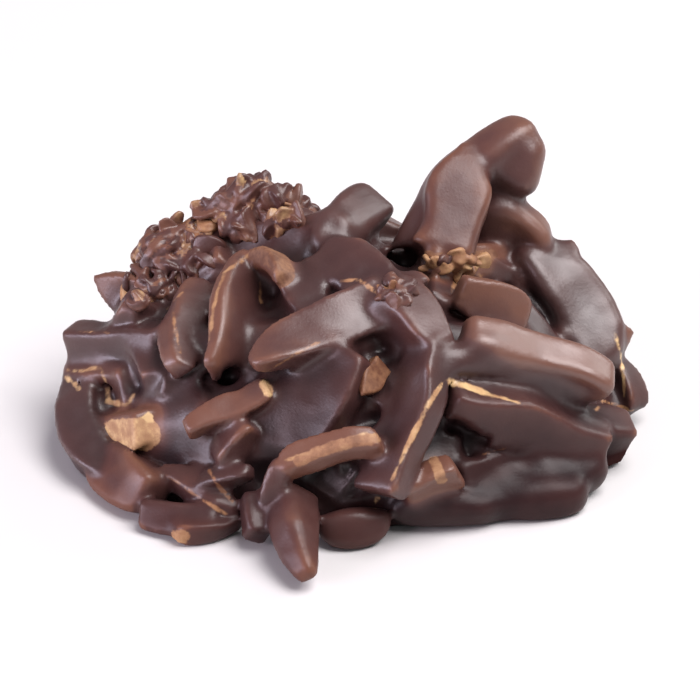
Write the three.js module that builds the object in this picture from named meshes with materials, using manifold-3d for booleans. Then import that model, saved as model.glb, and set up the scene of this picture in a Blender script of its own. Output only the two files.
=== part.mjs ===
// An almond cluster: a spoonful of almond slivers stirred into dark chocolate and set as a low heap on a
// flat sheet. Units are millimetres, +Z is up, and the origin is the middle of the flat underside, where the
// heap set on its sheet. The viewer looks along +Y and down at the heap.

import * as THREE from "three";
import { mergeVertices } from "three/addons/utils/BufferGeometryUtils.js";
import Module from "manifold-3d";

// The heap. The middles of the slivers lie on a dome of these half sizes, over a lumpy core of chocolate.
const HEAP = new THREE.Vector3(22, 18.4, 17.2);
const CORE = new THREE.Vector3(21, 17, 15);
const CORE_POWER = 2.4;
const CORE_LUMP = 0.05;
const LUMP_WAVES = new THREE.Vector3(5, 4, 6);
const CORE_SIDES = 18;
const CORE_RINGS = 14;

// The front is laid out as it is seen, from this far above the horizon.
const VIEW_TILT = THREE.MathUtils.degToRad(30);
const ACROSS = new THREE.Vector3(1, 0, 0);
const UP = new THREE.Vector3(0, Math.sin(VIEW_TILT), Math.cos(VIEW_TILT));
const TOWARD = new THREE.Vector3(0, -Math.cos(VIEW_TILT), Math.sin(VIEW_TILT));

// A coated sliver: a many-sided stick that swells to its full width in the middle. The ones that show have
// more sides and more steps along them than the rest.
const FINE = { sides: 8, steps: 4 };
const PLAIN = { sides: 6, steps: 3 };
const SWELL = 0.5;
const THICKNESS_TAPER = 0.6;
const SQUARENESS = 0.5;

// Slivers on the far side follow a rule. It spreads this many over the whole dome, and leaves out the near ones.
const SEED = 20;
const SPREAD = 70;
const NEAR_LIMIT = 0.04;
const GOLDEN_ANGLE = Math.PI * (3 - Math.sqrt(5));
const LENGTH = { least: 10.5, spread: 5.5 };
const WIDTH = { least: 3.2, spread: 1.6 };
const THICKNESS = { least: 2.4, spread: 1.0 };
const BLUNTNESS = { least: 0.2, spread: 0.6 };
const MOST_ROLL = 40;
const MOST_BOW = 1;
const LEAN = { least: -0.175, spread: 0.5 };

// The slivers that show, each from one end to the other. An end is [across, up, lift] as the viewer sees it,
// where lift is how far it stands out of the heap towards the viewer. Then come the width, the thickness, the
// roll in degrees, the sideways bow, and how blunt each end is, from 0 for a point to 1 for a square end. A
// piece that is pointed has its own power of swell.
const SHOWN = [
  // the horn that stands up at the top right: an outer ridge, a front face, a tip lobe and the fold between
  [[4.9, 15.4, -3.5], [15.6, 27.2, 2.4], 3.8, 4.2, 14, 1.5, [0.75, 0.75]],
  [[7.9, 15.4, 1.3], [10.2, 25.2, 4.3], 6.6, 3.4, 5, -0.3, [0.95, 0.1], 1.8],
  [[13.3, 21.2, 2.1], [15.9, 26.6, 3.4], 5.4, 4.6, 10, -0.2, [0.7, 0.7]],
  [[11.4, 15.0, -0.4], [12.4, 24.2, 1.6], 5.6, 4.0, 10, 0, [0.85, 0.6]],
  [[11.6, 19.6, 1.4], [17.4, 15.8, 0.4], 4.4, 3.6, -25, 0.3, [0.75, 0.7]],
  // the piece behind the horn, and the shoulder that slopes down from it
  [[-2.6, 15.6, 0], [2.5, 20.3, 1.5], 4.8, 3.4, 12, 0.5, [0.55, 0.75], 0.8],
  [[-12.6, 16.0, 0], [0.2, 16.4, 0.6], 4.6, 3.2, 20, 0.4, [0.6, 0.7]],
  [[-2.6, 15.4, 0.4], [4.0, 11.4, 0.6], 5.0, 3.2, 20, 0.4, [0.7, 0.7]],
  [[-4.6, 14.2, -0.8], [-3.0, 9.6, -0.8], 3.8, 2.6, 0, 0, [0.7, 0.7]],
  // the crumbled mound at the top left
  [[-13.6, 17.4, 0], [-9.6, 20.6, 1], 3.0, 2.8, 0, 0.2, [0.6, 0.7]],
  [[-11.2, 19.6, 1], [-6.4, 21.0, 1.6], 3.2, 3.0, 30, 0.3, [0.7, 0.6]],
  [[-6.8, 17.6, 0.8], [-5.6, 21.2, 1.6], 2.4, 2.6, -35, 0, [0.7, 0.7]],
  [[-6.0, 18.2, -0.5], [-2.4, 19.2, -0.3], 2.6, 2.6, 20, 0.2, [0.7, 0.6]],
  // the slope at the upper left
  [[-18.2, 15.4, 0], [-12.0, 17.0, 0.6], 3.4, 2.6, 20, 0.3, [0.5, 0.6]],
  [[-19.4, 12.2, 0.2], [-12.8, 14.2, 0.8], 3.0, 2.8, -25, 0.5, [0.4, 0.6]],
  [[-16.5, 11.0, -0.6], [-22.9, 13.7, 0.3], 3.8, 1.6, 25, 0, [0.9, 0.03], 1.1],
  [[-8.7, 14.9, 1], [-5.8, 13.2, 1.6], 2.1, 2.4, -10, 0.8, [0.7, 0.7]],
  // three upright leaves side by side
  [[-8.8, 15.6, 2.4], [-12.0, 5.3, 0.9], 7.4, 2.4, 44, 1.0, [0.25, 0.35], 0.8],
  [[-13.6, 13.2, 0.8], [-14.9, 5.4, 1.3], 3.4, 2.8, 28, -0.5, [0.4, 0.5]],
  [[-16.6, 12.2, -0.4], [-17.2, 4.4, 0.2], 3.0, 2.6, -25, -0.5, [0.5, 0.6]],
  // the left flank: a square stick, a boat-shaped piece, flakes and a snapped end that faces the viewer
  [[-16.0, 7.8, -1], [-24.6, 7.8, 0.9], 3.3, 3.2, 20, 0, [0.9, 0.95]],
  [[-23.9, 5.1, 0.8], [-20.8, -4.1, 0.4], 4.4, 3.4, -18, -1.1, [0.55, 0.3], 0.8],
  [[-25.0, 5.9, 0.6], [-20.2, 4.8, 1.4], 1.9, 1.4, 35, -0.4, [0.5, 0.5]],
  [[-21.9, 5.6, 1.5], [-21.3, 1.6, 1.3], 1.3, 1.3, -30, 0.2, [0.7, 0.4]],
  [[-21.2, 0.1, 0.4], [-17.6, 0.5, 0.8], 3.2, 3.0, -12, 0, [0.75, 0.95]],
  [[-21.4, -2.6, 0.2], [-17.0, -5.6, 0.8], 4.8, 3.8, -6, -0.3, [0.7, 0.7]],
  [[-18.0, -6.6, -0.2], [-11.4, -7.4, 0.4], 3.4, 3.0, 0, -0.5, [0.6, 0.6]],
  // the lower left
  [[-15.0, -8.7, 1.2], [-9.6, -7.4, 0], 2.8, 2.2, -30, -0.5, [0.5, 0.6], 0.8],
  [[-16.4, -3.4, 0.4], [-9.9, -7.2, 1.2], 2.8, 2.8, 40, 0.3, [0.3, 0.3], 0.8],
  [[-16.2, 2.6, -4.6], [-12.6, -3.4, -3.4], 4.2, 3.0, -30, 0.3, [0.6, 0.6]],
  [[-14.2, 0.1, 1.8], [-7.2, 3.9, -1.0], 2.6, 2.4, 20, 0, [0.7, 0.9]],
  [[-12.8, -4.4, 0.2], [-8.6, -3.2, 0.6], 2.2, 2.0, 30, 0.3, [0.4, 0.6]],
  [[-10.8, -2.6, -0.2], [-8.6, 1.0, -0.2], 2.6, 2.4, -30, 0.2, [0.6, 0.6]],
  [[-8.4, -5.4, 0.2], [-8.1, -9.0, 0.8], 2.7, 2.8, 20, 0, [0.7, 0.7]],
  // the middle: a wing over a deep cleft, and the broad slab under it
  [[-8.8, 6.1, 1.8], [2.8, 11.9, 0.5], 5.2, 2.2, 22, -0.3, [0.25, 0.8], 0.8],
  [[-0.4, 7.4, -0.6], [-4.8, -1.8, -2.4], 6.8, 3.4, -40, 0, [0.8, 0.7]],
  [[-5.8, -3.0, 1.2], [2.6, -0.8, 1], 2.4, 2.8, 40, 0.4, [0.6, 0.7]],
  [[-5.7, -2.6, 1.3], [-6.6, -6.8, 1], 2.4, 2.4, 0, -0.3, [0.7, 0.5]],
  [[-4.5, -5.4, -0.6], [-4.2, -12.2, 0.2], 4.0, 3.4, 45, -0.3, [0.8, 0.25], 0.7],
  [[-2.8, -8.2, 0], [3.4, -7.4, 0], 3.6, 3.0, -25, -0.6, [0.5, 0.4], 0.8],
  // the crossing right of the middle, with the long piece that runs down from it
  [[3.4, 11.8, 0.2], [8.0, 7.4, 1.8], 4.4, 3.4, 30, 0.2, [0.7, 0.6]],
  [[7.2, 8.0, 1.5], [2.6, -5.2, 1.5], 5.4, 2.6, -50, 0.2, [0.5, 0.85]],
  [[3.2, 11.8, 0.8], [6.4, 13.0, 0.6], 2.2, 2.2, 25, 0.2, [0.7, 0.7]],
  [[6.8, 14.9, 0.4], [13.2, 15.1, 0.6], 2.8, 2.6, 0, 0.2, [0.7, 0.6]],
  [[9.4, 12.4, 0.8], [15.6, 10.2, 0.2], 4.2, 2.2, -2, -0.3, [0.75, 0.5]],
  // the right flank: a stick over a slab, inside a broad curved piece
  [[9.9, 8.9, 2.2], [23.0, 4.3, 11.3], 3.8, 3.2, 28, 0.2, [0.8, 0.8]],
  [[15.6, 16.4, 0.2], [21.8, 4.6, 1.0], 6.4, 4.0, 22, 1.5, [0.7, 0.75]],
  [[8.4, 6.2, 1.5], [20.4, 2.6, 3.5], 3.0, 3.2, 28, 0.5, [0.6, 0.8]],
  [[8.6, 3.0, 1.0], [21.6, -1.5, 6.2], 5.0, 3.4, -28, 0, [0.6, 0.98], 0.8],
  [[18.6, 0.2, -1.0], [24.4, -0.5, 5.2], 5.4, 3.6, -38, -0.4, [0.8, 0.7]],
  [[22.6, 6.6, -0.4], [24.9, 1.6, 0.2], 2.6, 2.4, -30, 0.4, [0.7, 0.6]],
  [[21.8, 7.4, -0.6], [25.1, 8.8, -0.2], 2.4, 1.6, 20, 0, [0.9, 0.1], 1],
  [[17.4, 15.0, -0.8], [20.3, 16.4, -0.4], 2.0, 1.8, 0, 0, [0.9, 0.6]],
  // the lower right, down to the foot
  [[4.8, -5.2, 0.4], [9.2, -3.0, 1.3], 3.0, 3.0, 30, 0.2, [0.6, 0.8]],
  [[9.4, -3.7, -0.8], [15.2, -1.9, -1.4], 2.2, 1.8, -20, 0, [0.6, 0.3]],
  [[3.6, -6.4, -1.2], [12.4, -6.4, -1.2], 3.8, 3.2, -30, -0.3, [0.5, 0.7], 0.7],
  [[10.6, -5.9, -1.2], [20.8, -4.8, -1.2], 4.4, 3.6, -44, -0.5, [0.6, 0.5]],
  [[15.0, -3.2, -1.2], [22.4, -3.6, -1.2], 4.0, 3.2, -35, 0.0, [0.6, 0.5]],
];

// A repeatable draw: Park and Miller's generator, which gives numbers from 0 to 1.
function draws(seed) {
  const FACTOR = 48271;
  const MODULUS = 2147483647;
  let state = seed;
  return () => {
    state = (state * FACTOR) % MODULUS;
    return state / MODULUS;
  };
}

// Where the viewer's line of sight meets the dome, moved out by the lift. A line that passes the dome by takes
// its nearest point, and nothing goes lower than half its thickness above the sheet.
function seenAt([across, up, lift], thick) {
  const flat = ACROSS.clone().multiplyScalar(across).addScaledVector(UP, up);
  const from = flat.clone().divide(HEAP);
  const along = TOWARD.clone().divide(HEAP);
  const a = along.lengthSq();
  const b = from.dot(along);
  const under = b * b - a * (from.lengthSq() - 1);
  const depth = (-b + Math.sqrt(Math.max(under, 0))) / a + lift;
  const floorDepth = (thick / 2 - flat.z) / TOWARD.z;
  return flat.addScaledVector(TOWARD, Math.max(depth, floorDepth));
}

// The share of its full size that a sliver has at a place from 0 to 1 along it. A higher power draws its ends
// out to points.
function sizeAt(place, [first, last], power) {
  const blunt = THREE.MathUtils.lerp(first, last, place);
  return THREE.MathUtils.lerp(blunt, 1, Math.sin(Math.PI * place) ** power);
}

// A coordinate of a unit circle, pushed out towards the square round it.
const squared = (c) => Math.sign(c) * Math.abs(c) ** SQUARENESS;

// One coated sliver from one point to another. Its broad side faces the given way before it is rolled.
function sliver({ start, end, facing, wide, thick, roll, bow, blunt, swell = SWELL, sides, steps }) {
  const axis = end.clone().sub(start);
  const length = axis.length();
  axis.normalize();
  const flatOut = facing.clone().addScaledVector(axis, -facing.dot(axis)).normalize();
  const sideways = axis.clone().cross(flatOut);
  const turn = THREE.MathUtils.degToRad(roll);
  const out = flatOut.clone().applyAxisAngle(axis, -turn);
  const side = sideways.clone().applyAxisAngle(axis, -turn);
  const body = new THREE.CylinderGeometry(1, 1, 1, sides, steps);
  const points = body.getAttribute("position");
  const half = new THREE.Vector3();
  for (let i = 0; i < points.count; i++) {
    half.fromBufferAttribute(points, i);
    const place = half.y + 0.5;
    const angle = Math.atan2(half.z, half.x) + Math.PI / sides;
    const onRim = Math.hypot(half.x, half.z);
    const size = sizeAt(place, blunt, swell);
    const w = (wide / 2) * size * squared(Math.cos(angle)) * onRim;
    const t = (thick / 2) * size ** THICKNESS_TAPER * squared(Math.sin(angle)) * onRim;
    const at = start.clone().addScaledVector(axis, place * length);
    at.addScaledVector(sideways, -4 * bow * place * (1 - place));
    at.addScaledVector(side, w).addScaledVector(out, t);
    points.setXYZ(i, at.x, at.y, at.z);
  }
  return body;
}

// The way out of the dome at a point.
const outward = (point) => point.clone().divide(HEAP).divide(HEAP).normalize();

// The slivers of the far side, spread evenly by the golden angle and each lying along the dome at a random
// heading.
function scattered(draw) {
  const made = [];
  for (let k = 0; k < SPREAD; k++) {
    const height = (k + 0.5) / SPREAD;
    const angle = k * GOLDEN_ANGLE;
    const heading = 2 * Math.PI * draw();
    const lean = LEAN.least + LEAN.spread * draw();
    const length = LENGTH.least + LENGTH.spread * draw();
    const wide = WIDTH.least + WIDTH.spread * draw();
    const thick = THICKNESS.least + THICKNESS.spread * draw();
    const roll = MOST_ROLL * (2 * draw() - 1);
    const bow = MOST_BOW * (2 * draw() - 1);
    const blunt = [0, 0].map(() => BLUNTNESS.least + BLUNTNESS.spread * draw());
    const round = Math.sqrt(1 - height * height);
    const middle = new THREE.Vector3(round * Math.cos(angle), round * Math.sin(angle), height).multiply(HEAP);
    const out = outward(middle);
    if (out.dot(TOWARD) > NEAR_LIMIT) continue;
    const level = new THREE.Vector3(0, 0, 1).cross(out).normalize();
    const rising = out.clone().cross(level);
    const axis = level.multiplyScalar(Math.cos(heading)).addScaledVector(rising, Math.sin(heading));
    axis.addScaledVector(out, lean).normalize();
    const start = middle.clone().addScaledVector(axis, -length / 2);
    const end = middle.clone().addScaledVector(axis, length / 2);
    start.z = Math.max(start.z, thick / 2);
    end.z = Math.max(end.z, thick / 2);
    made.push(sliver({ start, end, facing: out, wide, thick, roll, bow, blunt, ...PLAIN }));
  }
  return made;
}

// The chocolate in the middle: a dome inside the slivers, squarer than an ellipsoid, with shallow lumps.
function core() {
  const dome = new THREE.SphereGeometry(1, CORE_SIDES, CORE_RINGS);
  const points = dome.getAttribute("position");
  const at = new THREE.Vector3();
  for (let i = 0; i < points.count; i++) {
    at.fromBufferAttribute(points, i);
    const wave = at.clone().multiply(LUMP_WAVES);
    const lump = Math.sin(wave.x + 1) * Math.sin(wave.y + 2) * Math.sin(wave.z);
    const reach = at.toArray().reduce((sum, c) => sum + Math.abs(c) ** CORE_POWER, 0) ** (1 / CORE_POWER);
    at.multiply(CORE).multiplyScalar((1 + CORE_LUMP * lump) / reach);
    points.setXYZ(i, at.x, at.y, at.z);
  }
  return dome;
}

const wasm = await Module();
wasm.setup();

// A closed three.js geometry as a solid that can be joined and cut.
function solidOf(geometry) {
  const bare = geometry.clone();
  bare.deleteAttribute("normal");
  bare.deleteAttribute("uv");
  const merged = mergeVertices(bare, 1e-4);
  return new wasm.Manifold(
    new wasm.Mesh({
      numProp: 3,
      vertProperties: merged.getAttribute("position").array,
      triVerts: new Uint32Array(merged.index.array),
    }),
  );
}

// A solid as a three.js geometry again.
function geometryOf(solid) {
  const mesh = solid.getMesh();
  const geometry = new THREE.BufferGeometry();
  geometry.setAttribute("position", new THREE.BufferAttribute(mesh.vertProperties, 3));
  geometry.setIndex(new THREE.BufferAttribute(mesh.triVerts, 1));
  geometry.computeVertexNormals();
  return geometry;
}

// Everything below the sheet, which cuts the underside flat.
function sheet() {
  const size = 200;
  return new THREE.BoxGeometry(size, size, size).translate(0, 0, -size / 2);
}

const pieces = [core()];
for (const [from, to, wide, thick, roll, bow, blunt, swell] of SHOWN) {
  const start = seenAt(from, thick);
  const end = seenAt(to, thick);
  pieces.push(sliver({ start, end, facing: TOWARD, wide, thick, roll, bow, blunt, swell, ...FINE }));
}
pieces.push(...scattered(draws(SEED)));

// The joined heap is the largest body: a scrap that touches nothing is dropped, and a sealed hollow filled.
const joined = pieces.map(solidOf).reduce((heap, piece) => heap.add(piece));
const bodies = joined.subtract(solidOf(sheet())).decompose();
const heap = bodies.reduce((most, body) => (body.volume() > most.volume() ? body : most));

const chocolate = new THREE.MeshStandardMaterial({ color: 0x4a2f28, roughness: 0.42, metalness: 0 });
const cluster = new THREE.Mesh(geometryOf(heap), chocolate);
cluster.name = "cluster";

const part = new THREE.Group();
part.add(cluster);

export default part;
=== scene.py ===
"""An almond cluster: almond slivers stirred into dark cocoa and date paste, and set as a heap.

The solid cluster holds the heap's form, in few flat faces. Here its slivers are laid again by the same rule,
and one soft skin of chocolate is drawn over them all. The skin is where a distance field is zero.
The field of one sliver is the distance to a box with round edges that follows a bowed line. A soft minimum
of all the fields makes the chocolate run together where slivers meet. Crumbs and bare chips stand on it.
Lengths are in millimetres until a mesh is made, which is in metres.
"""

import bpy
import numpy as np
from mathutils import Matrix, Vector


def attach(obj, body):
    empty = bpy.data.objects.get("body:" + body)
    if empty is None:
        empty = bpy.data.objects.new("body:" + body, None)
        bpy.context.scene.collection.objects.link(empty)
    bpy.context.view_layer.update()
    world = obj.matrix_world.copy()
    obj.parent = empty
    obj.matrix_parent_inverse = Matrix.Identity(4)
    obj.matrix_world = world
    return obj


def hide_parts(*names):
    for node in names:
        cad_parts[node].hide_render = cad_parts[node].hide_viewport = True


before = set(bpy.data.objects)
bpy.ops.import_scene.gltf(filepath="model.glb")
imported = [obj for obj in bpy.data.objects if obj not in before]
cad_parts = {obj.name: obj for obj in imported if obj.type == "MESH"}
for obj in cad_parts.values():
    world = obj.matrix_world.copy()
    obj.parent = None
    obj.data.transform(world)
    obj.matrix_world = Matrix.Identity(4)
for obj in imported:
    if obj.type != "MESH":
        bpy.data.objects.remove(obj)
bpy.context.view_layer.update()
MM = 0.001


# The camera looks down at the heap from the side that the photo shows, far off, so that it hardly narrows.
# The photo's own picture plane gives the two directions in which the slivers are laid.
view_tilt = np.radians(30)
across = np.array([1.0, 0.0, 0.0])
up = np.array([0.0, np.sin(view_tilt), np.cos(view_tilt)])
toward = np.array([0.0, -np.cos(view_tilt), np.sin(view_tilt)])

picture_middle = 7.2 * up
picture_width = 62.0
camera_distance = 700.0

camera = bpy.data.objects.new("camera", bpy.data.cameras.new("camera"))
bpy.context.scene.collection.objects.link(camera)
bpy.context.scene.camera = camera
camera.location = Vector(picture_middle + camera_distance * toward) * MM
camera.rotation_euler = Vector(-toward).to_track_quat("-Z", "Y").to_euler()
camera.data.lens = camera.data.sensor_width * camera_distance / picture_width
camera.data.clip_start = 0.05
camera.data.clip_end = 5.0


# A pale table top and a pale room, lit by soft boxes as a studio is: a broad one over the heap, which lays a
# grey sheen on whatever faces up, two faintly violet ones from the left, and one behind that draws the edges.
def paint(name):
    """A new material with its shader, and the node tree that the colours are wired in."""
    material = bpy.data.materials.new(name)
    material.use_nodes = True
    return material, material.node_tree, material.node_tree.nodes["Principled BSDF"]


table_side = 3000.0
table_sink = 0.05
corners = np.array([[-1, -1], [1, -1], [1, 1], [-1, 1]]) * table_side / 2
table_mesh = bpy.data.meshes.new("table_top")
table_mesh.from_pydata([(x * MM, y * MM, -table_sink * MM) for x, y in corners], [], [(0, 1, 2, 3)])
table_top = bpy.data.objects.new("table_top", table_mesh)
bpy.context.scene.collection.objects.link(table_top)
pale, _, pale_shader = paint("pale_table")
pale_shader.inputs["Base Color"].default_value = (0.66, 0.66, 0.66, 1)
pale_shader.inputs["Roughness"].default_value = 0.7
pale_shader.inputs["Specular IOR Level"].default_value = 0.2
table_mesh.materials.append(pale)

room = bpy.data.worlds.new("room")
room.use_nodes = True
room.node_tree.nodes["Background"].inputs["Color"].default_value = (0.95, 0.97, 1.0, 1)
room.node_tree.nodes["Background"].inputs["Strength"].default_value = 0.26
bpy.context.scene.world = room
bpy.context.scene.view_settings.view_transform = "Standard"


heap_middle = Vector((0, 0, 8))


def soft_box(name, place, size, watts, tone):
    """A square light at a place round the heap, turned to the heap's middle."""
    lamp = bpy.data.lights.new(name, "AREA")
    lamp.shape = "SQUARE"
    lamp.size = size * MM
    lamp.energy = watts
    lamp.color = tone
    light = bpy.data.objects.new(name, lamp)
    bpy.context.scene.collection.objects.link(light)
    light.location = Vector(place) * MM
    light.rotation_euler = (heap_middle - Vector(place)).to_track_quat("-Z", "Y").to_euler()


soft_box("overhead_box", (240, -70, 500), 420, 4.8, (1.0, 0.94, 0.95))
soft_box("front_left_box", (-460, -380, 220), 260, 1.5, (1.0, 0.78, 0.92))
soft_box("back_right_box", (420, 300, 300), 260, 1.0, (1.0, 1.0, 1.0))
soft_box("left_box", (-520, -110, 90), 240, 1.8, (0.88, 0.82, 1.0))


# The almond slivers, laid as in the solid: the front from the photo, the far side by a seeded rule. A
# sliver has a start, an end, a broad side turned outwards, and a swell from its ends to its middle. They are
# cut from whole almonds with a knife, so their edges are square where the coat hasn't rounded them.
heap = np.array([22.0, 18.4, 17.2])
thickness_taper = 0.6

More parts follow.
